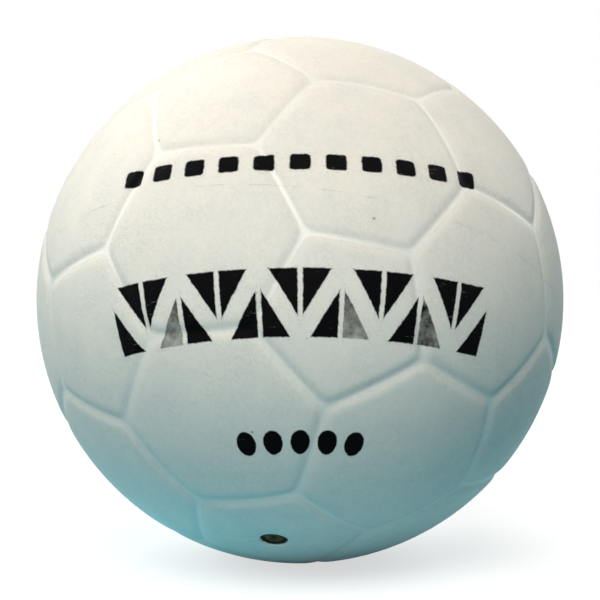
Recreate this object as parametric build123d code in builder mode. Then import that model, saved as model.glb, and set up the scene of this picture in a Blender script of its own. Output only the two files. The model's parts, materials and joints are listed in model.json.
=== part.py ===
from build123d import *
from math import acos, atan, cos, degrees, pi, radians, sin, tan
import os

# Ball
ball_diameter = 187.8  # 590 round; official men's balls run from 580 to 600
ball_radius = ball_diameter / 2

# Layers, from the outside in
panel_thickness = 3.0
carcass_thickness = 1.5
winding_thickness = 0.6
bladder_thickness = 1.0
glue_line = 0.1  # between neighbouring panels and between layers

# Moulded seams
seam_groove_radius = 8.0
seam_groove_depth = 0.8
seam_lip_radius = 12.0

# Valve plug
needle_channel_diameter = 2.2
needle_channel_length = 12.0
needle_funnel_flare = 0.7
plug_stem_diameter = 6.0
plug_stem_length = 17.0
plug_tip_length = 2.5
plug_tip_diameter = 4.4
plug_head_overhang = 0.8
plug_head_height = 1.8
plug_head_round = 0.4
plug_clearance = 0.05
plug_slit_width = 0.3

# Valve boot
boot_neck_wall = 0.9
boot_neck_recess = 0.5  # below the floor of the panel's dish
boot_neck_round = 0.3
boot_flange_diameter = 38.0
boot_flange_thickness = 2.0
boot_tube_wall = 2.5
boot_tube_tail = 1.5  # past the end of the plug
boot_root_round = 2.5

# Valve opening in the panel
valve_hole_gap = 0.15
valve_hole_round = 0.5
valve_dish_radius = 90.0
valve_dish_depth = 0.5

overrun = 1.0  # how far cutters reach past what they cut

# Attitude of the ball: the valve faces forward and down, and the panels turn about it
valve_dip = 55.0
panel_turn = -4.0

# Layer radii
panel_inner = ball_radius - panel_thickness
carcass_outer = panel_inner - glue_line
carcass_inner = carcass_outer - carcass_thickness
winding_outer = carcass_inner - glue_line
winding_inner = winding_outer - winding_thickness
bladder_outer = winding_inner - glue_line
bladder_inner = bladder_outer - bladder_thickness
flange_outer = bladder_inner - glue_line
flange_inner = flange_outer - boot_flange_thickness

# Valve radii and heights, measured along the valve axis from the ball's centre
stem_radius = plug_stem_diameter / 2
head_radius = stem_radius + plug_head_overhang
bore_radius = stem_radius + plug_clearance
pocket_radius = head_radius + plug_clearance
neck_radius = pocket_radius + boot_neck_wall
hole_radius = neck_radius + valve_hole_gap
tube_radius = bore_radius + boot_tube_wall
flange_radius = boot_flange_diameter / 2
neck_top = ball_radius - valve_dish_depth - boot_neck_recess
pocket_floor = neck_top - plug_head_height
head_bottom = pocket_floor + plug_clearance
head_top = head_bottom + plug_head_height
stem_end = head_bottom - plug_stem_length
tube_end = stem_end - boot_tube_tail

# The valve axis is the pole of the panel pattern
valve_direction = Vector(0, -cos(radians(valve_dip)), -sin(radians(valve_dip)))
valve_axis = Axis((0, 0, 0), valve_direction)
valve_plane = Plane(origin=(0, 0, 0), x_dir=(1, 0, 0), z_dir=valve_direction)
# Section plane through the valve axis: X is the radius, Y the height along the axis
section_plane = Plane(origin=(0, 0, 0), x_dir=valve_plane.x_dir, z_dir=-valve_plane.y_dir)

# Angles of a truncated icosahedron, seen from its centre
pentagon_spacing = atan(2)
corner_span = (5 + 4 * cos(pentagon_spacing)) ** 0.5
centre_span = (3 + 6 * cos(pentagon_spacing)) ** 0.5
pentagon_corner_angle = acos((2 + cos(pentagon_spacing)) / corner_span)
hexagon_corner_angle = acos(3 * (1 + 2 * cos(pentagon_spacing)) / (corner_span * centre_span))


def pattern_direction(lean, turn):
    """Direction at a lean from the valve axis and a turn about it, both in radians."""
    local = Vector(sin(lean) * cos(turn), sin(lean) * sin(turn), cos(lean))
    return valve_plane.from_local_coords(local)


def panel_planes():
    """Planes of the pentagons, the valve's first, and of the hexagons, with X towards a corner."""
    step = 2 * pi / 5
    start = radians(panel_turn)
    near = [pattern_direction(pentagon_spacing, start + step * i) for i in range(5)]
    far = [pattern_direction(pi - pentagon_spacing, start + step * (i + 0.5)) for i in range(5)]
    valve_pole = valve_direction
    far_pole = -valve_direction

    pentagon_pairs = [(valve_pole, near[0])]
    pentagon_pairs += [(near[i], valve_pole) for i in range(5)]
    pentagon_pairs += [(far[i], far_pole) for i in range(5)]
    pentagon_pairs += [(far_pole, far[0])]
    pentagons = [Plane((0, 0, 0), x_dir=side, z_dir=centre) for centre, side in pentagon_pairs]

    triples = []
    for i in range(5):
        after = (i + 1) % 5
        triples.append((valve_pole, near[i], near[after]))
        triples.append((near[i], near[after], far[i]))
        triples.append((far[i], far[after], near[after]))
        triples.append((far_pole, far[i], far[after]))
    hexagons = [Plane((0, 0, 0), x_dir=a * 2 + b, z_dir=a + b + c) for a, b, c in triples]
    return pentagons, hexagons


def build_panel(side_count, corner_angle):
    """One outer panel about +Z, cut from the ball's skin and rounded down into the moulded seams."""
    side_angle = atan(tan(corner_angle) * cos(pi / side_count))
    groove_path = ball_radius + seam_groove_radius - seam_groove_depth
    with BuildPart() as panel:
        Sphere(ball_radius, rotation=(90, 0, 0))
        Sphere(panel_inner, rotation=(90, 0, 0), mode=Mode.SUBTRACT)
        for side in range(side_count):
            turn = 2 * pi * (side + 0.5) / side_count
            outward = Vector(cos(turn), sin(turn))
            to_seam = outward * sin(side_angle) + Vector(0, 0, cos(side_angle))
            across_seam = outward * cos(side_angle) - Vector(0, 0, sin(side_angle))
            seam = Plane((0, 0, 0), x_dir=-to_seam, z_dir=across_seam)
            split(bisect_by=seam.offset(-glue_line / 2), keep=Keep.BOTTOM)
            with Locations(seam):
                Torus(groove_path, seam_groove_radius, mode=Mode.SUBTRACT)
        crown = panel.faces().filter_by(GeomType.SPHERE).sort_by(Axis.Z)[-1]
        fillet(crown.edges(), seam_lip_radius)
    return panel.part


def build_shell(outer_radius, inner_radius):
    """A hollow ball with a round hole where the valve passes."""
    outer_start = (outer_radius**2 - hole_radius**2) ** 0.5
    inner_start = (inner_radius**2 - hole_radius**2) ** 0.5
    with BuildPart() as shell:
        with BuildSketch(section_plane):
            with BuildLine():
                Line((hole_radius, inner_start), (hole_radius, outer_start))
                ThreePointArc((hole_radius, outer_start), (outer_radius, 0), (0, -outer_radius))
                Line((0, -outer_radius), (0, -inner_radius))
                ThreePointArc((0, -inner_radius), (inner_radius, 0), (hole_radius, inner_start))
            make_face()
        revolve(axis=valve_axis)
    return shell.part


def save(part, name):
    part.label = name
    export_step(part, f"parts/{name}.step")


os.makedirs("parts", exist_ok=True)
pentagon_planes, hexagon_planes = panel_planes()

# Outer panels
pentagon_panel = build_panel(5, pentagon_corner_angle)
hexagon_panel = build_panel(6, hexagon_corner_angle)

for number, plane in enumerate(hexagon_planes, start=1):
    with BuildPart() as panel:
        with Locations(plane):
            add(hexagon_panel)
    save(panel.part, f"hexagon_panel_{number:02d}")

for number, plane in enumerate(pentagon_planes[1:], start=1):
    with BuildPart() as panel:
        with Locations(plane):
            add(pentagon_panel)
    save(panel.part, f"pentagon_panel_{number:02d}")

# Valve panel: a pentagon with a shallow dish and the round hole for the valve
dish_centre = ball_radius + valve_dish_radius - valve_dish_depth
dish_sweep = acos(hole_radius / valve_dish_radius)
hole_rim = dish_centre - valve_dish_radius * sin(dish_sweep)
hole_low = panel_inner - overrun
with BuildPart() as valve_panel:
    with Locations(pentagon_planes[0]):
        add(pentagon_panel)
    with BuildSketch(section_plane) as mouth:
        with BuildLine():
            CenterArc((0, dish_centre), valve_dish_radius, 0, -degrees(dish_sweep))
            Polyline((hole_radius, hole_rim), (hole_radius, hole_low), (0, hole_low))
            Polyline((0, hole_low), (0, dish_centre), (valve_dish_radius, dish_centre))
        make_face()
        fillet(mouth.vertices().sort_by_distance((hole_radius, hole_rim))[0], valve_hole_round)
    revolve(axis=valve_axis, mode=Mode.SUBTRACT)
save(valve_panel.part, "valve_panel")

# Inner layers
for name, outer, inner in (
    ("carcass", carcass_outer, carcass_inner),
    ("winding", winding_outer, winding_inner),
    ("bladder", bladder_outer, bladder_inner),
):
    save(build_shell(outer, inner), name)

# Valve boot: a flange bonded inside the bladder, a neck outwards and a tube inwards
flange_rim_outer = (flange_outer**2 - flange_radius**2) ** 0.5
flange_rim_inner = (flange_inner**2 - flange_radius**2) ** 0.5
neck_root = (flange_outer**2 - neck_radius**2) ** 0.5
tube_root = (flange_inner**2 - tube_radius**2) ** 0.5
with BuildPart() as valve_boot:
    with BuildSketch(section_plane):
        with BuildLine():
            Polyline((tube_radius, tube_root), (tube_radius, tube_end), (bore_radius, tube_end))
            Polyline((bore_radius, tube_end), (bore_radius, pocket_floor), (pocket_radius, pocket_floor))
            Polyline((pocket_radius, pocket_floor), (pocket_radius, neck_top), (neck_radius, neck_top))
            Line((neck_radius, neck_top), (neck_radius, neck_root))
            RadiusArc((neck_radius, neck_root), (flange_radius, flange_rim_outer), flange_outer)
            Line((flange_radius, flange_rim_outer), (flange_radius, flange_rim_inner))
            RadiusArc((flange_radius, flange_rim_inner), (tube_radius, tube_root), -flange_inner)
        make_face()
    revolve(axis=valve_axis)
    boot_rings = valve_boot.edges().filter_by(GeomType.CIRCLE)
    root_ring = boot_rings.sort_by(lambda ring: abs(ring.arc_center.length - tube_root))[0]
    fillet(root_ring, boot_root_round)
    neck_rings = valve_boot.edges().filter_by(GeomType.CIRCLE).group_by(valve_axis)[-1]
    fillet(neck_rings, min(boot_neck_round, boot_neck_wall / 3))
save(valve_boot.part, "valve_boot")

# Valve plug: a head with a needle funnel, a stem, and a tapered tip with an air slit
tip_radius = plug_tip_diameter / 2
channel_radius = needle_channel_diameter / 2
with BuildPart() as valve_plug:
    with BuildSketch(section_plane):
        with BuildLine():
            Polyline((0, stem_end), (tip_radius, stem_end), (stem_radius, stem_end + plug_tip_length))
            Polyline((stem_radius, stem_end + plug_tip_length), (stem_radius, head_bottom))
            Polyline((stem_radius, head_bottom), (head_radius, head_bottom), (head_radius, head_top))
            Polyline((head_radius, head_top), (0, head_top), (0, stem_end))
        make_face()
    revolve(axis=valve_axis)
    fillet(valve_plug.edges().filter_by(GeomType.CIRCLE).sort_by(valve_axis)[-1], plug_head_round)
    with Locations(valve_plane.offset(head_top)):
        CounterSinkHole(channel_radius, channel_radius + needle_funnel_flare, needle_channel_length)
    with BuildSketch(valve_plane.offset(stem_end - overrun)):
        Rectangle(needle_channel_diameter, plug_slit_width)
    slit_top = head_top - needle_channel_length + overrun
    extrude(amount=slit_top - stem_end + overrun, mode=Mode.SUBTRACT)
save(valve_plug.part, "valve_plug")
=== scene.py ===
import json
import math

import bpy
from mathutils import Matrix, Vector, noise


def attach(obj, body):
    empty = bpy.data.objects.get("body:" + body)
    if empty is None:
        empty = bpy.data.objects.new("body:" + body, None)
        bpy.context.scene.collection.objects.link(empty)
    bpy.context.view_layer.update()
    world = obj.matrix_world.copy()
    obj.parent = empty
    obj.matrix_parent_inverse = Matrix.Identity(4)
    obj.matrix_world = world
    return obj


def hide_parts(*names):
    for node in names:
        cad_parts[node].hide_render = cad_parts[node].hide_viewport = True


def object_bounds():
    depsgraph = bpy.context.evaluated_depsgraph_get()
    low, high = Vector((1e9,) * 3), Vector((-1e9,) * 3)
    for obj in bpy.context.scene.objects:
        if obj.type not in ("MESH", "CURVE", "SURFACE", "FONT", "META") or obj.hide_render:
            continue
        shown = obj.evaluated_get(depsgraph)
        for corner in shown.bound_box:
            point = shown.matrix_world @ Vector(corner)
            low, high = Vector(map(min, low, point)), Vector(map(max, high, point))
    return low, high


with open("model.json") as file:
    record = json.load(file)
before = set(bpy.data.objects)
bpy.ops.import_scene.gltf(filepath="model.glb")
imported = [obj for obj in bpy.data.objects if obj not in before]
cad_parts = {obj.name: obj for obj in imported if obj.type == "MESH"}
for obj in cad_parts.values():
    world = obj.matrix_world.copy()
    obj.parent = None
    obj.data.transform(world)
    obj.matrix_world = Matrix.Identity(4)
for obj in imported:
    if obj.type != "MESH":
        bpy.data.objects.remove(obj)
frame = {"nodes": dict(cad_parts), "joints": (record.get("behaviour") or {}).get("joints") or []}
cadLow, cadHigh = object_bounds()

mm = 0.001
ballRadius = min(cadHigh - cadLow) / 2
valveAxis = Vector(frame["joints"][0]["axis"]).normalized()
scene = bpy.context.scene
print("frame loaded, ball radius in mm:", round(ballRadius / mm, 2))


# small helpers for node trees
def addNode(tree, kind, inputs=None, **settings):
    node = tree.nodes.new("ShaderNode" + kind)
    for key, value in settings.items():
        setattr(node, key, value)
    for key, value in (inputs or {}).items():
        if isinstance(value, bpy.types.NodeSocket):
            tree.links.new(value, node.inputs[key])
        else:
            node.inputs[key].default_value = value
    return node


def maths(tree, operation, *values):
    return addNode(tree, "Math", dict(enumerate(values)), operation=operation).outputs[0]


def vectorValue(tree, operation, *vectors):
    return addNode(tree, "VectorMath", dict(enumerate(vectors)), operation=operation).outputs["Value"]


def soften(tree, value, low, high, toLow=0.0, toHigh=1.0):
    inputs = {"Value": value, "From Min": low, "From Max": high, "To Min": toLow, "To Max": toHigh}
    return addNode(tree, "MapRange", inputs, interpolation_type="SMOOTHSTEP").outputs["Result"]


def noiseField(tree, place, facts):
    return addNode(tree, "TexNoise", {"Vector": place, **facts}).outputs[0]


def swing(tree, place, facts):
    # the same noise about zero
    return maths(tree, "SUBTRACT", noiseField(tree, place, facts), 0.5)


def blendColour(tree, share, first, second):
    # a Mix node takes its colours at 6 and 7 and gives the blend at 2
    return addNode(tree, "Mix", {0: share, 6: first, 7: second}, data_type="RGBA").outputs[2]


def addBump(tree, shader, height, depth):
    bump = addNode(tree, "Bump", {"Height": height, "Strength": 1.0, "Distance": depth})
    tree.links.new(bump.outputs[0], shader.inputs["Normal"])


def newGroup(name, takes, gives):
    group = bpy.data.node_groups.new(name, "ShaderNodeTree")
    for label, kind in takes.items():
        group.interface.new_socket(label, in_out="INPUT", socket_type="NodeSocket" + kind)
    for label in gives:
        group.interface.new_socket(label, in_out="OUTPUT", socket_type="NodeSocketFloat")
    return group, group.nodes.new("NodeGroupInput").outputs, group.nodes.new("NodeGroupOutput").inputs


def useGroup(tree, group, **inputs):
    return addNode(tree, "Group", inputs, node_tree=group).outputs


def newMaterial(name):
    material = bpy.data.materials.new(name)
    material.use_nodes = True
    tree = material.node_tree
    shader = tree.nodes["Principled BSDF"]
    place = addNode(tree, "TexCoord").outputs["Object"]
    inMm = addNode(tree, "VectorMath", {0: place, "Scale": 1 / mm}, operation="SCALE").outputs[0]
    return material, tree, shader, inMm


# moulded grain: a fine pebble with slow tone changes, shared by the vinyl and the rubbers
grainMake = {
    "smoothness": 0.6,
    "pebble": -0.5,                            # share of the pebble against the fuzz
    "fuzz": {"Scale": 0.45, "Detail": 3.0, "Roughness": 0.55},     # scales count against the pebble's own
    "slow": {"Scale": 0.06, "Detail": 4.0, "Roughness": 0.6},
    "toneRange": (0.3, 0.7),
}


def makeGrain():
    group, take, give = newGroup("mouldedGrain", {"Place": "Vector", "Size": "Float"}, ("Height", "Tone"))
    fine = maths(group, "DIVIDE", 1.0, take["Size"])

    def againstPebble(facts):
        scale = maths(group, "MULTIPLY", fine, facts["Scale"])
        return noiseField(group, take["Place"], {**facts, "Scale": scale})

    pebble = addNode(group, "TexVoronoi", {
        "Vector": take["Place"], "Scale": fine, "Smoothness": grainMake["smoothness"],
    }, feature="SMOOTH_F1").outputs["Distance"]
    height = maths(group, "MULTIPLY_ADD", pebble, grainMake["pebble"], againstPebble(grainMake["fuzz"]))
    group.links.new(height, give["Height"])
    group.links.new(soften(group, againstPebble(grainMake["slow"]), *grainMake["toneRange"]), give["Tone"])
    return group


# dust and handling marks: settles in hollows, with a few specks and rubs elsewhere
dustMake = {
    "colour": (0.42, 0.40, 0.35, 1),
    "cloud": {"Scale": 0.09, "Detail": 5.0, "Roughness": 0.62},
    "cloudRange": (0.35, 0.75),
    "cloudShare": 0.7,                         # the rest of the film lies evenly
    "speckScale": 0.075,
    "speckSizes": (0.45, 1.0, 0.0, 0.052),     # lots, and the specks they make: low ones make none
    "speckEdge": 0.012,
    "rubLie": {"Rotation": (0.4, 0.9, 0.2), "Scale": (0.05, 0.5, 0.22)},
    "rub": {"Scale": 1.0, "Detail": 6.0, "Roughness": 0.7},
    "rubRange": (0.58, 0.8),
    "rubCloud": (0.5, 0.7),
}


def makeDust():
    group, take, give = newGroup(
        "settledDust", {"Place": "Vector", "Hollow": "Float"}, ("Film", "Specks", "Rubs"))
    cloud = noiseField(group, take["Place"], dustMake["cloud"])
    cloudy = soften(group, cloud, *dustMake["cloudRange"])
    cover = maths(group, "MULTIPLY_ADD", cloudy, dustMake["cloudShare"], 1 - dustMake["cloudShare"])
    group.links.new(maths(group, "MULTIPLY", take["Hollow"], cover), give["Film"])

    dots = addNode(group, "TexVoronoi", {"Vector": take["Place"], "Scale": dustMake["speckScale"]}).outputs
    lot = addNode(group, "SeparateColor", {"Color": dots["Color"]}).outputs[0]
    reach = soften(group, lot, *dustMake["speckSizes"])
    inside = maths(group, "SUBTRACT", reach, dots["Distance"])
    group.links.new(soften(group, inside, 0.0, dustMake["speckEdge"]), give["Specks"])

    stretched = addNode(group, "Mapping", {"Vector": take["Place"], **dustMake["rubLie"]}).outputs[0]
    rub = soften(group, noiseField(group, stretched, dustMake["rub"]), *dustMake["rubRange"])
    rub = maths(group, "MULTIPLY", rub, soften(group, cloud, *dustMake["rubCloud"]))
    group.links.new(rub, give["Rubs"])
    return group


# one row of stencilled dashes or dots on the ball, as a distance in mm from the edge of the nearest mark
def makeMarkRow():
    labels = ("Along", "Across", "Lift", "Pitch", "Reach", "Width", "Height", "Squareness")
    group, take, give = newGroup("stencilMarks", dict.fromkeys(labels, "Float"), ("Distance",))
    halfOn = maths(group, "MULTIPLY_ADD", take["Pitch"], 0.5, take["Along"])
    middle = maths(group, "SNAP", halfOn, take["Pitch"])
    onPitch = maths(group, "SUBTRACT", take["Along"], middle)
    onLift = maths(group, "SUBTRACT", take["Across"], take["Lift"])
    parts = []
    for offset, size in ((onPitch, take["Width"]), (onLift, take["Height"])):
        share = maths(group, "DIVIDE", maths(group, "ABSOLUTE", offset), maths(group, "MULTIPLY", size, 0.5))
        parts.append(maths(group, "POWER", share, take["Squareness"]))
    rounding = maths(group, "DIVIDE", 1.0, take["Squareness"])
    ring = maths(group, "POWER", maths(group, "ADD", *parts), rounding)
    halfHeight = maths(group, "MULTIPLY", take["Height"], 0.5)
    mark = maths(group, "MULTIPLY", maths(group, "SUBTRACT", ring, 1.0), halfHeight)
    ends = maths(group, "SUBTRACT", maths(group, "ABSOLUTE", take["Along"]), take["Reach"])
    group.links.new(maths(group, "MAXIMUM", mark, ends), give["Distance"])
    return group


grain = makeGrain()
dust = makeDust()
markRow = makeMarkRow()


# black paint, sprayed through a stencil: a belt of split triangles, a row of blocks and a row of dots
paint = {
    "colour": (0.002, 0.002, 0.0023, 1),
    "roughness": 0.55,
    "build": 0.4,                              # thickness, in depths of the grain
    "turn": math.radians(9.9),                 # the belt faces the front of the ball
    "lean": math.radians(26),                  # and arches over it
    "beltLift": -27.0,                         # mm along the ball from the belt's own equator
    "beltHeight": 24.0,
    "beltReach": 74.1,
    "zigzag": 15.0,
    "stepsBehind": 40,                         # an even count, so that the zigzag starts behind the ball
    "bridge": 6.4,                             # bare strips between the marks
    "split": 0.9,                              # half of the thin bridges that held the stencil together
    "upper": {"Lift": 24.0, "Pitch": 13.0, "Reach": 71.5, "Width": 7.6, "Height": 6.4, "Squareness": 6.0},
    "lower": {"Lift": -78.0, "Pitch": 14.0, "Reach": 35.0, "Width": 10.0, "Height": 10.0, "Squareness": 2.0},
    "bleed": 0.3,                              # mm the paint crept under the stencil
    "creep": {"Scale": 0.55, "Detail": 4.0, "Roughness": 0.62},
    "creepBy": 3,                              # bleeds between the least and the most creep
    "thinMarks": 0.84,                         # marks whose lot is above this got too little paint
    "thinFade": 0.02,
    "thinCover": 0.78,
    "thinPatches": 9.0,                        # how far the cover of a thin mark follows the wear
    "comb": (0.25, 0.25, 2.2),                 # streaks lie along the belt
    "streak": {"Scale": 1.0, "Detail": 3.0},
    "streakRange": (0.62, 0.76),
    "streakWear": (0.50, 0.62, 0.0, 0.22),
    "spray": (0.0, 2.2, 0.35, 0.0),            # mm out from a mark's edge, and cover
    "mist": {"Scale": 2.2, "Detail": 1.0},
    "mistRange": (0.55, 0.75),
}


def beltPlace(tree, place):
    # the belt's own frame, with distances in mm along and across it
    turned = addNode(tree, "VectorRotate", {
        "Vector": place, "Angle": -paint["turn"]}, rotation_type="Z_AXIS").outputs[0]
    leaned = addNode(tree, "VectorRotate", {
        "Vector": turned, "Angle": paint["lean"]}, rotation_type="X_AXIS").outputs[0]
    x, y, z = addNode(tree, "SeparateXYZ", {0: leaned}).outputs
    front = maths(tree, "MULTIPLY", y, -1.0)
    along = maths(tree, "MULTIPLY", maths(tree, "ARCTAN2", x, front), ballRadius / mm)
    squares = [maths(tree, "POWER", value, 2.0) for value in (x, y)]
    flat = maths(tree, "SQRT", maths(tree, "ADD", *squares))
    across = maths(tree, "MULTIPLY", maths(tree, "ARCTAN2", z, flat), ballRadius / mm)
    return leaned, along, across


def stencilPaint(tree, place, worn):
    leaned, along, across = beltPlace(tree, place)

    # belt: triangles between a zigzag of bare bridges, each split in two
    tall, step = paint["beltHeight"], paint["zigzag"]
    behind, half = paint["stepsBehind"] * step, step / 2
    high = maths(tree, "SUBTRACT", across, paint["beltLift"])
    climb = maths(tree, "PINGPONG", maths(tree, "ADD", along, behind), step)
    wave = maths(tree, "MULTIPLY_ADD", climb, tall / step, -tall / 2)
    slant = math.cos(math.atan2(tall, step))
    offLine = maths(tree, "MULTIPLY", maths(tree, "ABSOLUTE", maths(tree, "SUBTRACT", high, wave)), slant)
    bridge = maths(tree, "SUBTRACT", paint["bridge"] / 2, offLine)
    edge = maths(tree, "SUBTRACT", maths(tree, "ABSOLUTE", high), tall / 2)
    ends = maths(tree, "SUBTRACT", maths(tree, "ABSOLUTE", along), paint["beltReach"])
    toSplit = maths(tree, "PINGPONG", maths(tree, "ADD", along, behind + half), half)
    split = maths(tree, "SUBTRACT", paint["split"], maths(tree, "SUBTRACT", half, toSplit))
    nearest = maths(tree, "MAXIMUM", bridge, edge)
    for limit in (ends, split):
        nearest = maths(tree, "MAXIMUM", nearest, limit)
    for row in ("upper", "lower"):
        marksHere = useGroup(tree, markRow, Along=along, Across=across, **paint[row])
        nearest = maths(tree, "MINIMUM", nearest, marksHere["Distance"])
    creep = swing(tree, place, paint["creep"])
    uneven = maths(tree, "MULTIPLY_ADD", creep, paint["creepBy"] * paint["bleed"], nearest)
    solid = soften(tree, uneven, -paint["bleed"], paint["bleed"], 1.0, 0.0)

    # how much paint each mark of the belt got
    turnOf = maths(tree, "FLOOR", maths(tree, "DIVIDE", along, step))
    lot = maths(tree, "MULTIPLY_ADD", turnOf, 2.0, maths(tree, "GREATER_THAN", high, wave))
    dice = addNode(tree, "TexWhiteNoise", {"W": lot}, noise_dimensions="1D").outputs["Value"]
    thin = paint["thinMarks"]
    full = soften(tree, dice, thin, thin + paint["thinFade"], 1.0, paint["thinCover"])
    full = maths(tree, "MAXIMUM", full, maths(tree, "GREATER_THAN", edge, paint["bleed"]))
    follow = maths(tree, "MULTIPLY_ADD", worn, paint["thinPatches"], -paint["thinPatches"] / 2)
    patchy = maths(tree, "MULTIPLY", maths(tree, "SUBTRACT", 1.0, full), follow)
    full = maths(tree, "MINIMUM", maths(tree, "SUBTRACT", full, patchy), 1.0)

    # fine streaks where it wore thin, and a mist of spray past the edges
    combed = addNode(tree, "Mapping", {"Vector": leaned, "Scale": paint["comb"]}).outputs[0]
    streak = soften(tree, noiseField(tree, combed, paint["streak"]), *paint["streakRange"])
    missed = maths(tree, "MULTIPLY", streak, soften(tree, worn, *paint["streakWear"]))
    cover = maths(tree, "MULTIPLY", full, maths(tree, "SUBTRACT", 1.0, missed))
    mist = soften(tree, noiseField(tree, place, paint["mist"]), *paint["mistRange"])
    spray = maths(tree, "MULTIPLY", soften(tree, nearest, *paint["spray"]), mist)
    return maths(tree, "MAXIMUM", maths(tree, "MULTIPLY", solid, cover), spray)


# fine creases that the vinyl took in handling, along the middle value of a noise
crease = {
    "folds": {"Scale": 0.36, "Detail": 1.5, "Distortion": 1.0},
    "reach": 0.07,                             # to each side of the middle value
    "wear": (0.38, 0.58),                      # in patches, where the skin is worn
    "grime": 0.10,
    "depth": -1.6,                             # in depths of the grain
}


def foldCreases(tree, place, worn):
    away = maths(tree, "ABSOLUTE", swing(tree, place, crease["folds"]))
    folds = soften(tree, away, 0.0, crease["reach"], 1.0, 0.0)
    return maths(tree, "MULTIPLY", soften(tree, worn, *crease["wear"]), folds)


# faint line left where the mould halves met, square to the valve axis
parting = {
    "edge": (0.06, 0.24),                      # mm from its middle
    "waver": {"Scale": 0.12, "Detail": 3.0, "Roughness": 0.7},
    "waverBy": 0.8,                            # mm
    "wear": (0.44, 0.60),
    "strength": 0.42,
}


def partingLine(tree, place, offset, worn):
    waver = swing(tree, place, parting["waver"])
    away = maths(tree, "ABSOLUTE", maths(tree, "MULTIPLY_ADD", waver, parting["waverBy"], offset))
    line = soften(tree, away, *parting["edge"], 1.0, 0.0)
    return maths(tree, "MULTIPLY", line, soften(tree, worn, *parting["wear"]))


# painted highlight in the bottom of each seam: a lighter colour, with more press-coat gloss, stronger on
# some seams than on others
seamHighlightAndGloss = {
    "colour": (0.92, 0.90, 0.82, 1),           # painted highlight, lighter than the vinyl
    "share": 0.7,
    "sheen": 0.8,                              # share of the press coat left, where nothing rubs
    "bottom": (0.78, 0.99),                    # shares of the seam's depth
    "crisp": (6.0, 26.0, 1.0, 0.7),            # mm from the parting line, and strength
    "run": {"Scale": 0.028, "Detail": 1.0},
    "runRange": (0.35, 0.6, 0.6, 1.0),
}


# mask of the painted seam highlight and of the extra gloss that goes with it
def paintedSeamHighlight(tree, place, hollow, offset):
    run = soften(tree, noiseField(tree, place, seamHighlightAndGloss["run"]), *seamHighlightAndGloss["runRange"])
    crisp = soften(tree, maths(tree, "ABSOLUTE", offset), *seamHighlightAndGloss["crisp"])
    bottom = soften(tree, hollow, *seamHighlightAndGloss["bottom"])
    return maths(tree, "MULTIPLY", bottom, maths(tree, "MULTIPLY", crisp, run))


vinyl = {
    "colour": (0.845, 0.80, 0.703, 1),
    "colourSlow": (0.805, 0.77, 0.698, 1),     # slow patches a touch greyer
    "filmShare": 0.08,
    "rubColour": (0.93, 0.93, 0.90, 1),
    "rubShare": 0.35,
    "speckColour": (0.16, 0.14, 0.11, 1),
    "speckShare": 0.55,
    "pores": (0.05, 0.5, 0.08, 0.0),           # height of the grain, and dust in it
    "roughness": 0.46,
    "roughSpread": 0.08,
    "specular": 0.03,                          # soft, porous skin
    "sheen": 0.06,                             # share of the glossy press coat left on the panels
    "sheenRoughness": 0.3,
    "grainSize": 0.75,                         # mm
    "grainDepth": 0.03 * mm,
    "wear": {"Scale": 0.07, "Detail": 4.0, "Roughness": 0.7},
}


def makeVinyl():
    material, tree, shader, place = newMaterial("panelVinyl")
    hollow = addNode(tree, "Attribute", attribute_name="seamDip").outputs["Fac"]
    skin = useGroup(tree, grain, Place=place, Size=vinyl["grainSize"])
    marks = useGroup(tree, dust, Place=place, Hollow=hollow)
    worn = noiseField(tree, place, vinyl["wear"])
    offset = vectorValue(tree, "DOT_PRODUCT", place, valveAxis)
    creases = foldCreases(tree, place, worn)
    painted = stencilPaint(tree, place, worn)
    line = partingLine(tree, place, offset, worn)
    highlightAndGlossMask = paintedSeamHighlight(tree, place, hollow, offset)

    pores = soften(tree, skin["Height"], *vinyl["pores"])
    grime = maths(tree, "MULTIPLY_ADD", creases, crease["grime"], pores)
    grime = maths(tree, "MULTIPLY_ADD", marks["Film"], vinyl["filmShare"], grime)
    colour = blendColour(tree, skin["Tone"], vinyl["colour"], vinyl["colourSlow"])
    for cover, share, tint in (
        (grime, 1.0, dustMake["colour"]),
        # painted highlight along the seam bottoms
        (highlightAndGlossMask, seamHighlightAndGloss["share"], seamHighlightAndGloss["colour"]),
        (marks["Rubs"], vinyl["rubShare"], vinyl["rubColour"]),
        (line, parting["strength"], dustMake["colour"]),
        (marks["Specks"], vinyl["speckShare"], vinyl["speckColour"]),
        (painted, 1.0, paint["colour"]),
    ):
        colour = blendColour(tree, maths(tree, "MULTIPLY", cover, share), colour, tint)
    tree.links.new(colour, shader.inputs["Base Color"])

    smoothest = vinyl["roughness"] - vinyl["roughSpread"] / 2
    rough = maths(tree, "MULTIPLY_ADD", skin["Tone"], vinyl["roughSpread"], smoothest)
    rough = maths(tree, "MULTIPLY_ADD", painted, paint["roughness"] - vinyl["roughness"], rough)
    tree.links.new(rough, shader.inputs["Roughness"])
    sheen = maths(tree, "MULTIPLY_ADD", highlightAndGlossMask, seamHighlightAndGloss["sheen"] - vinyl["sheen"], vinyl["sheen"])
    sheen = maths(tree, "MULTIPLY", sheen, maths(tree, "SUBTRACT", 1.0, painted))
    tree.links.new(sheen, shader.inputs["Coat Weight"])
    shader.inputs["Coat Roughness"].default_value = vinyl["sheenRoughness"]
    shader.inputs["Specular IOR Level"].default_value = vinyl["specular"]
    height = maths(tree, "MULTIPLY_ADD", creases, crease["depth"], skin["Height"])
    height = maths(tree, "MULTIPLY_ADD", painted, paint["build"], height)
    addBump(tree, shader, height, vinyl["grainDepth"])
    return material


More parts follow.
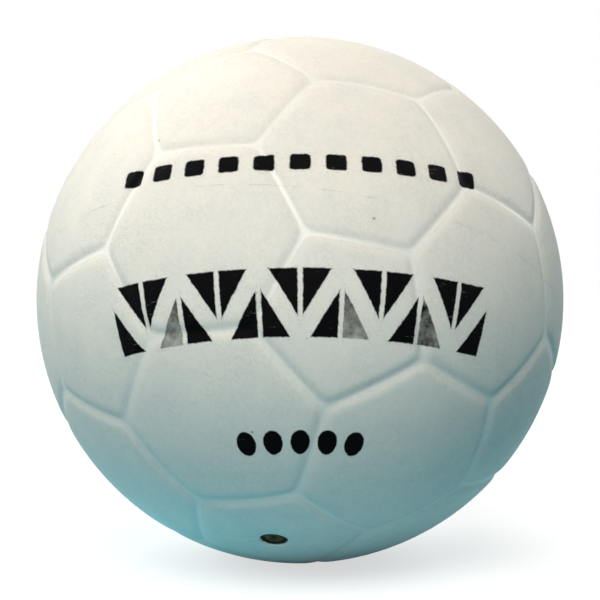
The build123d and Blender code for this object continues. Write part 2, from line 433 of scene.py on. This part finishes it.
# rubbers of the valve and the layers inside, with a bloom of dust
rubbers = {
    "bootRubber": {
        # near black, darker than the rubber itself: the black rubber plus painted shade of the valve's
        # recess
        "colour": (0.006, 0.007, 0.007, 1), "worn": (0.012, 0.013, 0.012, 1), "bloom": 0.03,
        "roughness": 0.62, "specular": 0.15, "grainSize": 0.5, "grainDepth": 0.01 * mm,
    },
    "plugRubber": {
        # olive rubber, painted darker as shade of the valve's recess
        "colour": (0.085, 0.070, 0.018, 1), "worn": (0.030, 0.027, 0.010, 1), "bloom": 0.03,
        "roughness": 0.55, "specular": 0.15, "grainSize": 0.4, "grainDepth": 0.01 * mm,
    },
    "carcassRubber": {
        "colour": (0.34, 0.25, 0.14, 1), "worn": (0.27, 0.20, 0.12, 1), "bloom": 0.30,
        "roughness": 0.70, "specular": 0.5, "grainSize": 1.6, "grainDepth": 0.05 * mm,
    },
    "bladderRubber": {
        "colour": (0.020, 0.020, 0.021, 1), "worn": (0.034, 0.033, 0.032, 1), "bloom": 0.30,
        "roughness": 0.58, "specular": 0.5, "grainSize": 2.2, "grainDepth": 0.03 * mm,
    },
}
rubberRoughSpread = 0.12


def makeRubber(name):
    facts = rubbers[name]
    material, tree, shader, place = newMaterial(name)
    skin = useGroup(tree, grain, Place=place, Size=facts["grainSize"])
    marks = useGroup(tree, dust, Place=place, Hollow=1.0)
    colour = blendColour(tree, skin["Tone"], facts["colour"], facts["worn"])
    bloom = maths(tree, "MULTIPLY", marks["Film"], facts["bloom"])
    colour = blendColour(tree, bloom, colour, dustMake["colour"])
    rough = maths(tree, "MULTIPLY_ADD", skin["Tone"], rubberRoughSpread, facts["roughness"])
    tree.links.new(colour, shader.inputs["Base Color"])
    tree.links.new(rough, shader.inputs["Roughness"])
    shader.inputs["Specular IOR Level"].default_value = facts["specular"]
    addBump(tree, shader, skin["Height"], facts["grainDepth"])
    return material


# thread wound in three crossing directions under a thin skin of latex
winding = {
    "colour": (0.62, 0.58, 0.48, 1),
    "gap": (0.20, 0.17, 0.12, 1),
    "tops": (0.45, 0.9),                       # heights from the gap's colour to the thread's
    "roughness": (0.3, 0.9, 0.85, 0.65),       # heights, and roughness
    "dustShare": 0.25,
    "depth": 0.15 * mm,
    "turns": ((0.0, 0.0, 0.0), (0.9, 0.5, 0.0), (0.3, 1.4, 0.8)),      # radians
    "threads": {"Scale": 1.1, "Distortion": 1.5, "Detail": 2.0, "Detail Scale": 0.6},
}


def makeThread():
    material, tree, shader, place = newMaterial("windingThread")
    marks = useGroup(tree, dust, Place=place, Hollow=1.0)
    top = 0.0
    for turn in winding["turns"]:
        laid = addNode(tree, "Mapping", {"Vector": place, "Rotation": turn}).outputs[0]
        wave = addNode(tree, "TexWave", {"Vector": laid, **winding["threads"]}, bands_direction="Z")
        top = maths(tree, "MAXIMUM", top, wave.outputs["Fac"])
    colour = blendColour(tree, soften(tree, top, *winding["tops"]), winding["gap"], winding["colour"])
    film = maths(tree, "MULTIPLY", marks["Film"], winding["dustShare"])
    colour = blendColour(tree, film, colour, dustMake["colour"])
    tree.links.new(colour, shader.inputs["Base Color"])
    tree.links.new(soften(tree, top, *winding["roughness"]), shader.inputs["Roughness"])
    addBump(tree, shader, top, winding["depth"])
    return material


vinylMaterial = makeVinyl()
rubberMaterials = {name: makeRubber(name) for name in rubbers}
threadMaterial = makeThread()
print("materials made")


# outer panels
skinLayer = {
    "thickness": 3.0 * mm,
    "seamDepth": 0.8 * mm,
    "seamSpread": 1.65 * mm,     # reach of the groove's soft sides
    "seamGap": 0.02 * mm,
    "rows": 34,                  # rows of faces from the middle of a panel to its seam
    "crowding": 1.5,             # above 1 gathers the rows at the seam
    "innerRows": 7,
    "swell": 0.05 * mm,          # slow unevenness of the moulded skin
    "swellSize": 26 * mm,
}
skinInner = ballRadius - skinLayer["thickness"]
hardAngle = math.radians(40)     # edges that turn more than this stay hard


def headingOf(node):
    total = Vector()
    for face in frame["nodes"][node].data.polygons:
        total += face.center * face.area
    return total.normalized()


pentagonNodes = ["valve_panel"] + sorted(name for name in frame["nodes"] if name.startswith("pentagon"))
hexagonNodes = sorted(name for name in frame["nodes"] if name.startswith("hexagon"))
pentagonHeadings = {name: headingOf(name) for name in pentagonNodes}
pentagonHeadings["valve_panel"] = valveAxis


def cornersOf(node):
    # each corner lies a third of the way from one pentagon's middle to the next one's
    centre = pentagonHeadings.get(node) or headingOf(node)
    near = sorted(pentagonHeadings.values(), key=centre.dot, reverse=True)
    if node in pentagonHeadings:
        corners = [(2 * centre + other).normalized() for other in near[1:6]]
    else:
        trio = near[:3]
        corners = [(2 * one + other).normalized() for one in trio for other in trio if one is not other]
    side = centre.orthogonal().normalized()
    up = centre.cross(side)
    corners.sort(key=lambda corner: math.atan2(corner.dot(up), corner.dot(side)))
    seams = [corners[i - 1].cross(corners[i]).normalized() for i in range(len(corners))]
    return centre, corners, seams


def skinRadius(way, seams):
    flat = 1.0
    for seam in seams:
        away = ballRadius * math.asin(min(1.0, abs(seam.dot(way))))
        flat *= 1 - math.exp(-away * away / (2 * skinLayer["seamSpread"] ** 2))
    swell = 0.5 + 0.5 * noise.noise(way * (ballRadius / skinLayer["swellSize"]))
    return ballRadius - skinLayer["seamDepth"] * (1 - flat) - skinLayer["swell"] * swell, 1 - flat


def seamRing(centre, corners, count):
    # points on the panel's edge, on the plane that touches the ball at the panel's middle
    rim = [corner / corner.dot(centre) - centre for corner in corners]
    middle = (rim[0] + rim[1]).length / 2
    inset = 1 - skinLayer["seamGap"] / 2 * (1 + middle ** 2) / (ballRadius * middle)
    ring = []
    for i in range(len(rim)):
        here, there = rim[i], rim[(i + 1) % len(rim)]
        ring += [inset * here.lerp(there, step / count) for step in range(count)]
    return ring


def bandFaces(first, second, count):
    return [(first + i, second + i, second + (i + 1) % count, first + (i + 1) % count) for i in range(count)]


def makePiece(name, points, faces, body, material, replaced, dips=None):
    mesh = bpy.data.meshes.new(name)
    mesh.from_pydata(points, [], faces)
    mesh.polygons.foreach_set("use_smooth", [True] * len(mesh.polygons))
    mesh.set_sharp_from_angle(angle=hardAngle)
    if dips:
        mesh.attributes.new("seamDip", "FLOAT", "POINT").data.foreach_set("value", dips)
    mesh.materials.append(material)
    piece = bpy.data.objects.new(name, mesh)
    scene.collection.objects.link(piece)
    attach(piece, body)
    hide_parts(replaced)
    return piece


def buildPanel(node):
    centre, corners, seams = cornersOf(node)
    rows, sides = skinLayer["rows"], len(corners)
    points, dips, faces = [], [], []

    def spot(row, side, step):
        if row == 0:
            return 0
        return 1 + sides * row * (row - 1) // 2 + (side * row + step) % (sides * row)

    def lay(way, radius=None, dip=0.0):
        if radius is None:
            radius, dip = skinRadius(way, seams)
        points.append(way * radius)
        dips.append(dip)

    lay(centre)
    for row in range(1, rows + 1):
        reach = 1 - (1 - row / rows) ** skinLayer["crowding"]
        for edge in seamRing(centre, corners, row):
            lay((centre + reach * edge).normalized())
    for row in range(rows):
        for side in range(sides):
            for step in range(row + 1):
                here, ahead = spot(row, side, step), spot(row + 1, side, step + 1)
                faces.append((here, spot(row + 1, side, step), ahead))
                if step < row:
                    faces.append((here, ahead, spot(row, side, step + 1)))

    # straight sides down the seams, then the bonded face
    edges = seamRing(centre, corners, rows)
    count = len(edges)
    last = spot(rows, 0, 0)
    for row in range(skinLayer["innerRows"]):
        reach = 1 - row / skinLayer["innerRows"]
        start = len(points)
        for edge in edges:
            lay((centre + reach * edge).normalized(), skinInner)
        faces += bandFaces(last, start, count)
        last = start
    lay(centre, skinInner)
    faces += [(last + i, len(points) - 1, last + (i + 1) % count) for i in range(count)]
    return points, faces, dips


valveMouth = {
    "holeRadius": 4.9 * mm,
    "round": 0.7 * mm,
    "roundSteps": 6,
    "roundDip": 0.8,             # counts as this share of a seam's depth, where dust settles
    "dishDepth": 0.8 * mm,
    "dishSpread": 5.0 * mm,
    "dishDip": 0.6,
    "rows": 40,
}


def buildValvePanel():
    centre, corners, seams = cornersOf("valve_panel")
    edges = seamRing(centre, corners, skinLayer["rows"])
    count = len(edges)
    hole, rounding = valveMouth["holeRadius"], valveMouth["round"]
    points, dips, faces = [], [], []

    def addRing(spots):
        if points:
            faces.extend(bandFaces(len(points) - count, len(points), count))
        points.extend(place for place, dip in spots)
        dips.extend(dip for place, dip in spots)

    def onBall(edge, share, inner, radius=None):
        outward = edge.normalized()
        start = math.asin(inner / (radius or ballRadius))
        lean = start + share * (math.atan(edge.length) - start)
        way = centre * math.cos(lean) + outward * math.sin(lean)
        if radius:
            return way * radius, 0.0
        high, dip = skinRadius(way, seams)
        fall = math.exp(-(lean * ballRadius) ** 2 / (2 * valveMouth["dishSpread"] ** 2))
        return way * (high - valveMouth["dishDepth"] * fall), max(dip, valveMouth["dishDip"] * fall)

    rows = valveMouth["rows"]
    for row in range(rows + 1):
        share = (1 + math.cos(math.pi * row / rows)) / 2      # rows crowd at the seam and at the mouth
        addRing([onBall(edge, share, hole + rounding) for edge in edges])
    lip = points[-count:]
    for step in range(1, valveMouth["roundSteps"] + 1):
        angle = math.pi / 2 * step / valveMouth["roundSteps"]
        inward, down = rounding * math.sin(angle), rounding * (1 - math.cos(angle))
        addRing([(place - edge.normalized() * inward - centre * down, valveMouth["roundDip"])
                 for place, edge in zip(lip, edges)])
    for row in range(skinLayer["innerRows"] + 1):
        addRing([onBall(edge, row / skinLayer["innerRows"], hole, skinInner) for edge in edges])
    faces.extend(bandFaces(len(points) - count, 0, count))
    return points, faces, dips


for node in hexagonNodes + pentagonNodes:
    kind, _, number = node.partition("_panel")
    name = kind + "Panel" + number
    points, faces, dips = buildValvePanel() if node == "valve_panel" else buildPanel(node)
    makePiece(name, points, faces, "ball", vinylMaterial, node, dips)
print("panels made:", len(hexagonNodes + pentagonNodes))


# valve pieces, turned about the valve axis
valveSide = Vector((1, 0, 0))
valveUp = valveAxis.cross(valveSide)
turnSteps = 96                   # faces round a turned piece


def turnPiece(outline, closed):
    points, faces, rings = [], [], []
    for radius, height in outline:
        count = turnSteps if radius > 0 else 1
        rings.append((len(points), count))
        for i in range(count):
            angle = 2 * math.pi * i / turnSteps
            out = valveSide * math.cos(angle) + valveUp * math.sin(angle)
            points.append((valveAxis * height + out * radius) * mm)
    pairs = list(zip(rings, rings[1:])) + ([(rings[-1], rings[0])] if closed else [])
    for (first, firstCount), (second, secondCount) in pairs:
        for i in range(turnSteps):
            after = (i + 1) % turnSteps
            if firstCount == 1:
                faces.append((first, second + i, second + after))
            elif secondCount == 1:
                faces.append((first + i, second, first + after))
            else:
                faces.append((first + i, second + i, second + after, first + after))
    return points, faces


def arc(centreRadius, centreHeight, radius, start, end, steps):
    spots = []
    for i in range(steps + 1):
        turn = math.radians(start + (end - start) * i / steps)
        spots.append((centreRadius + radius * math.cos(turn), centreHeight + radius * math.sin(turn)))
    return spots


def alongValve(node):
    heights = [valveAxis.dot(vertex.co) / mm for vertex in frame["nodes"][node].data.vertices]
    return min(heights), max(heights)


def onLayer(layerRadius, radius):
    return math.sqrt(layerRadius ** 2 - radius ** 2)


# sizes in mm, turns in degrees
boot = {
    "pocketRadius": 3.85, "pocketDepth": 1.8, "boreRadius": 3.05, "neckRadius": 4.75, "neckRound": 0.35,
    "bead": 0.12, "beadWidth": 0.3,            # raised lip round the pocket
    "flangeRadius": 19.0, "flangeTop": 87.4, "flangeBottom": 85.4, "flangeRound": 0.8,
    "flangeLean": 15,                          # its rounded edge leans with the layers
    "edgeSink": (0.75, 1.15),                  # middles of the rounding, in its radii from top and underside
    "topShares": (0, 0.1, 0.25, 0.5, 0.75, 0.9),      # points on the way out
    "underShares": (0.2, 0.45, 0.7, 0.9),      # and back
    "tubeRadius": 5.55, "rootRound": 2.5, "tubeRound": 0.6,
}


def bootOutline():
    low, high = alongValve("valve_boot")
    neck, tube, rim = boot["neckRadius"], boot["tubeRadius"], boot["flangeRadius"]
    soft, edge, root, blunt = boot["neckRound"], boot["flangeRound"], boot["rootRound"], boot["tubeRound"]
    lip = boot["pocketRadius"] + soft
    top = high - boot["bead"]
    outline = arc(lip, high - soft, soft, 180, 60, 5) + [(lip + boot["beadWidth"], top)]
    outline += arc(neck - soft, top - soft, soft, 90, 0, 5)

    # flange: out along its top, round its edge and back along its underside
    def flangeRun(face, start, end, shares):
        radii = [start + share * (end - start) for share in shares]
        return [(radius, onLayer(boot[face], radius)) for radius in radii]

    lean = boot["flangeLean"]
    sinkTop, sinkUnder = boot["edgeSink"]
    edgeTop, edgeLow = onLayer(boot["flangeTop"], rim), onLayer(boot["flangeBottom"], rim)
    outline += flangeRun("flangeTop", neck, rim - edge, boot["topShares"])
    outline += arc(rim - edge, edgeTop - edge * sinkTop, edge, 90 - lean, 0, 4)
    outline += arc(rim - edge, edgeLow + edge * sinkUnder, edge, 0, -90 - lean, 5)
    outline += flangeRun("flangeBottom", rim - edge, tube + root, boot["underShares"])

    # tube, then up the bore to the pocket
    outline += arc(tube + root, onLayer(boot["flangeBottom"], tube + root) - root, root, 90, 180, 6)
    outline += arc(tube - blunt, low + blunt, blunt, 0, -90, 4)
    floor = high - boot["pocketDepth"]
    outline += [(boot["boreRadius"], low), (boot["boreRadius"], floor), (boot["pocketRadius"], floor)]
    return outline


# in the same units
plug = {
    "headRadius": 3.8, "headHeight": 1.8, "headRound": 0.9, "sink": 0.3,
    "stemRadius": 3.0, "rootRound": 0.25,
    "ringRadius": 2.3, "ringWidth": 0.3, "ringHeight": 0.14,      # moulded ring round the needle funnel
    "ringTurn": 30,                            # from one point of its section to the next
    "funnelRadius": 1.8, "funnelDepth": 0.8, "funnelRound": 0.1, "channelRadius": 1.1, "channelLength": 12.0,
    "tipRadius": 2.2, "tipLength": 2.5, "tipRound": 0.4, "tipLean": 15,
    "stepWidth": 0.06, "stepLength": 0.4,      # small step where the stem ends and the tip starts
    "slitWidth": 0.3, "slitOver": 1,           # the blade that cuts the slit runs past its ends
}


def plugOutline():
    low, high = alongValve("valve_plug")
    ring, soft, root, tip = plug["ringHeight"], plug["headRound"], plug["rootRound"], plug["tipRound"]
    stem, channel = plug["stemRadius"], plug["channelRadius"]
    funnel, blunt = plug["funnelRadius"], plug["funnelRound"]
    top = high - plug["sink"] - ring
    channelEnd = high - plug["channelLength"]
    outline = [(0, channelEnd), (channel, channelEnd), (channel, top - plug["funnelDepth"])]
    outline += [(funnel - blunt, top - blunt), (funnel + blunt, top)]
    for turn in range(0, 181, plug["ringTurn"]):
        across, rise = math.cos(math.radians(turn)), math.sin(math.radians(turn))
        outline.append((plug["ringRadius"] - plug["ringWidth"] * across, top + ring * rise))
    outline += arc(plug["headRadius"] - soft, top - soft, soft, 90, 0, 5)
    under = high - plug["headHeight"]
    outline += [(plug["headRadius"], under), (stem + root, under)]
    outline += arc(stem + root, under - root, root, 90, 180, 3)[1:]
    tipTop = low + plug["tipLength"]
    outline += [(stem, tipTop + plug["stepLength"]), (stem - plug["stepWidth"], tipTop)]
    outline += arc(plug["tipRadius"] - tip, low + tip, tip, plug["tipLean"], -90, 4)
    outline.append((0, low))
    return outline, low, channelEnd


def cutSlit(piece, low, high):
    # the air slit through the plug's tip
    wide, half, over = plug["channelRadius"], plug["slitWidth"] / 2, plug["slitOver"]
    points = []
    for height in (low - over, high + over):
        for across, along in ((-wide, -half), (wide, -half), (wide, half), (-wide, half)):
            points.append((valveAxis * height + valveSide * across + valveUp * along) * mm)
    sides = [(0, 3, 2, 1), (4, 5, 6, 7), (0, 1, 5, 4), (1, 2, 6, 5), (2, 3, 7, 6), (3, 0, 4, 7)]
    blade = bpy.data.meshes.new("slitBlade")
    blade.from_pydata(points, [], sides)
    cutter = bpy.data.objects.new("slitBlade", blade)
    scene.collection.objects.link(cutter)
    cut = piece.modifiers.new("slit", "BOOLEAN")
    cut.object, cut.operation, cut.solver = cutter, "DIFFERENCE", "EXACT"
    whole = piece.data
    piece.data = bpy.data.meshes.new_from_object(piece.evaluated_get(bpy.context.evaluated_depsgraph_get()))
    piece.data.name = whole.name
    piece.modifiers.clear()
    bpy.data.meshes.remove(whole)
    bpy.data.objects.remove(cutter)
    bpy.data.meshes.remove(blade)
    piece.data.set_sharp_from_angle(angle=hardAngle)


points, faces = turnPiece(bootOutline(), True)
makePiece("valveBoot", points, faces, "ball", rubberMaterials["bootRubber"], "valve_boot")
outline, tipEnd, channelEnd = plugOutline()
points, faces = turnPiece(outline, False)
plugPiece = makePiece(
    "valvePlug", points, faces, "plug", rubberMaterials["plugRubber"], "valve_plug")
cutSlit(plugPiece, tipEnd, channelEnd)
print("valve pieces made")

innerLayers = {
    "carcass": rubberMaterials["carcassRubber"],
    "winding": threadMaterial,
    "bladder": rubberMaterials["bladderRubber"],
}
for node, material in innerLayers.items():
    mesh = frame["nodes"][node].data
    mesh.materials.clear()
    mesh.materials.append(material)
print("inner layers dressed")


# camera: at the front, a little to the right and above
view = {
    "azimuth": math.radians(9.86),
    "elevation": math.radians(10.0),
    "distance": 28.0,                          # in radii of the ball
    "lens": 442.4,                             # mm, as the sensor
    "sensor": 36,
    "clip": (0.05, 30),                        # metres
}
viewBack = Vector((
    math.sin(view["azimuth"]) * math.cos(view["elevation"]),
    -math.cos(view["azimuth"]) * math.cos(view["elevation"]),
    math.sin(view["elevation"]),
))
viewRight = Vector((math.cos(view["azimuth"]), math.sin(view["azimuth"]), 0))
viewUp = viewBack.cross(viewRight)


def makeCamera():
    camera = bpy.data.objects.new("camera", bpy.data.cameras.new("camera"))
    scene.collection.objects.link(camera)
    camera.data.lens = view["lens"]
    camera.data.sensor_width = view["sensor"]
    camera.data.clip_start, camera.data.clip_end = view["clip"]
    camera.location = viewBack * ballRadius * view["distance"]
    camera.rotation_mode = "QUATERNION"
    camera.rotation_quaternion = (-viewBack).to_track_quat("-Z", "Y")
    scene.camera = camera


# stage: a white sheet under the ball and white all round, each with its own light for the ball
stage = {
    "white": (1, 1, 1, 1),
    "floorWidth": 12.0,
    "floorColour": (0.025, 0.21, 0.29, 1),     # the bounce that the ball's underside picks up
    "glowLeft": (0.150, 0.485, 0.60, 1),       # light that comes up through the sheet round the ball
    "glowRight": (0.26, 0.395, 0.425, 1),
    "glowSides": (-0.06, 0.03),                # metres to the camera's right from one colour to the other
    "glowFoot": 0.10,                          # share left right under the ball
    "glowStart": {"centre": (0.012, -0.002, 0), "from": 0.027, "to": 0.082},       # rims of the glow, metres
    "glowEnd": {"centre": (0.016, 0.025, 0), "from": 0.075, "to": 0.175},
    "glossShare": 0.3,                         # white share of what the ball mirrors, the rest is the bounce
    "shadowShare": 0.5,
    "shadowLift": 0.62,                        # with the share of lamp light this comes to white
    "shadowFade": (0.18, 0.6),                 # metres from the ball's foot
    "worldColour": (0.93, 0.97, 1.0, 1),
    "worldLight": 0.04,
}


def seenDirectly(tree, mirrored=1.0):
    path = addNode(tree, "LightPath").outputs
    glossy = maths(tree, "MULTIPLY", path["Is Glossy Ray"], mirrored)
    through = maths(tree, "MAXIMUM", glossy, path["Is Transmission Ray"])
    return maths(tree, "MAXIMUM", path["Is Camera Ray"], through)


def makeSheet():
    material = bpy.data.materials.new("floorSheet")
    material.use_nodes = True
    tree = material.node_tree
    tree.nodes.clear()
    surface = addNode(tree, "NewGeometry").outputs
    flattened = {0: surface["Position"], 1: (1, 1, 0)}
    level = addNode(tree, "VectorMath", flattened, operation="MULTIPLY").outputs[0]

    # what lights the ball: a coloured bounce and a glow in a ring round its foot
    def rim(facts, inside, outside):
        out = vectorValue(tree, "DISTANCE", level, facts["centre"])
        return soften(tree, out, facts["from"], facts["to"], inside, outside)

    started, ended = rim(stage["glowStart"], stage["glowFoot"], 1.0), rim(stage["glowEnd"], 1.0, 0.0)
    side = vectorValue(tree, "DOT_PRODUCT", surface["Position"], viewRight)
    tint = blendColour(tree, soften(tree, side, *stage["glowSides"]), stage["glowLeft"], stage["glowRight"])
    strength = maths(tree, "MULTIPLY", started, ended)
    glow = addNode(tree, "Emission", {"Color": tint, "Strength": strength}).outputs[0]
    sheetBounce = addNode(tree, "BsdfDiffuse", {"Color": stage["floorColour"]}).outputs[0]
    bounce = addNode(tree, "AddShader", {0: sheetBounce, 1: glow}).outputs[0]

    # what the camera sees: white, with the ball's soft shadow
    share = stage["shadowShare"]
    lit = addNode(tree, "BsdfDiffuse", {"Color": (share, share, share, 1)}).outputs[0]
    lift = addNode(tree, "Emission", {"Color": stage["white"], "Strength": stage["shadowLift"]}).outputs[0]
    shaded = addNode(tree, "AddShader", {0: lift, 1: lit}).outputs[0]
    plain = addNode(tree, "Emission", {"Color": stage["white"], "Strength": 1.0}).outputs[0]
    fade = soften(tree, vectorValue(tree, "LENGTH", level), *stage["shadowFade"])
    seen = addNode(tree, "MixShader", {0: fade, 1: shaded, 2: plain}).outputs[0]

    direct = seenDirectly(tree, stage["glossShare"])
    sheet = addNode(tree, "MixShader", {0: direct, 1: bounce, 2: seen}).outputs[0]
    clear = addNode(tree, "BsdfTransparent").outputs[0]
    shown = addNode(tree, "MixShader", {0: surface["Backfacing"], 1: sheet, 2: clear}).outputs[0]
    addNode(tree, "OutputMaterial", {"Surface": shown})
    return material


def makeFloor():
    half = stage["floorWidth"] / 2
    mesh = bpy.data.meshes.new("floor")
    corners = [(x, y, -ballRadius) for x, y in ((-half, -half), (half, -half), (half, half), (-half, half))]
    mesh.from_pydata(corners, [], [(0, 1, 2, 3)])
    mesh.materials.append(makeSheet())
    floor = bpy.data.objects.new("floor", mesh)
    scene.collection.objects.link(floor)


def makeWorld():
    world = bpy.data.worlds.new("studio")
    scene.world = world
    world.use_nodes = True
    tree = world.node_tree
    tree.nodes.clear()
    light = {"Color": stage["worldColour"], "Strength": stage["worldLight"]}
    white = {"Color": stage["white"], "Strength": 1.0}
    soft, plain = (addNode(tree, "Background", facts).outputs[0] for facts in (light, white))
    both = addNode(tree, "MixShader", {0: seenDirectly(tree), 1: soft, 2: plain}).outputs[0]
    addNode(tree, "OutputWorld", {"Surface": both})


# lamps, placed by the camera's right, up and back
lamps = {
    "frontTop": {"from": (0.0, 0.70, 0.70), "power": 19.0},
    "front": {"from": (-0.30, 0.20, 0.93), "power": 8.0},
    "leftRim": {"from": (-0.95, 0.26, -0.25), "power": 10.2},
    "backLeft": {"from": (-0.50, 0.70, -0.50), "power": 13.6},
    "backRight": {"from": (0.68, 0.57, -0.47), "power": 9.2},
}
lampMake = {"distance": 1.6, "size": 1.3, "colour": (1.0, 0.985, 0.96)}      # metres


def makeLamp(name, facts):
    light = bpy.data.lights.new(name, "AREA")
    light.shape = "DISK"
    light.size = lampMake["size"]
    light.energy = facts["power"]
    light.color = lampMake["colour"]
    lamp = bpy.data.objects.new(name, light)
    scene.collection.objects.link(lamp)
    right, up, back = facts["from"]
    way = (viewRight * right + viewUp * up + viewBack * back).normalized()
    lamp.location = way * lampMake["distance"]
    lamp.rotation_mode = "QUATERNION"
    lamp.rotation_quaternion = (-way).to_track_quat("-Z", "Y")


makeFloor()
makeWorld()
makeCamera()
for name, facts in lamps.items():
    makeLamp(name, facts)
scene.view_settings.view_transform = "Standard"
print("stage set")
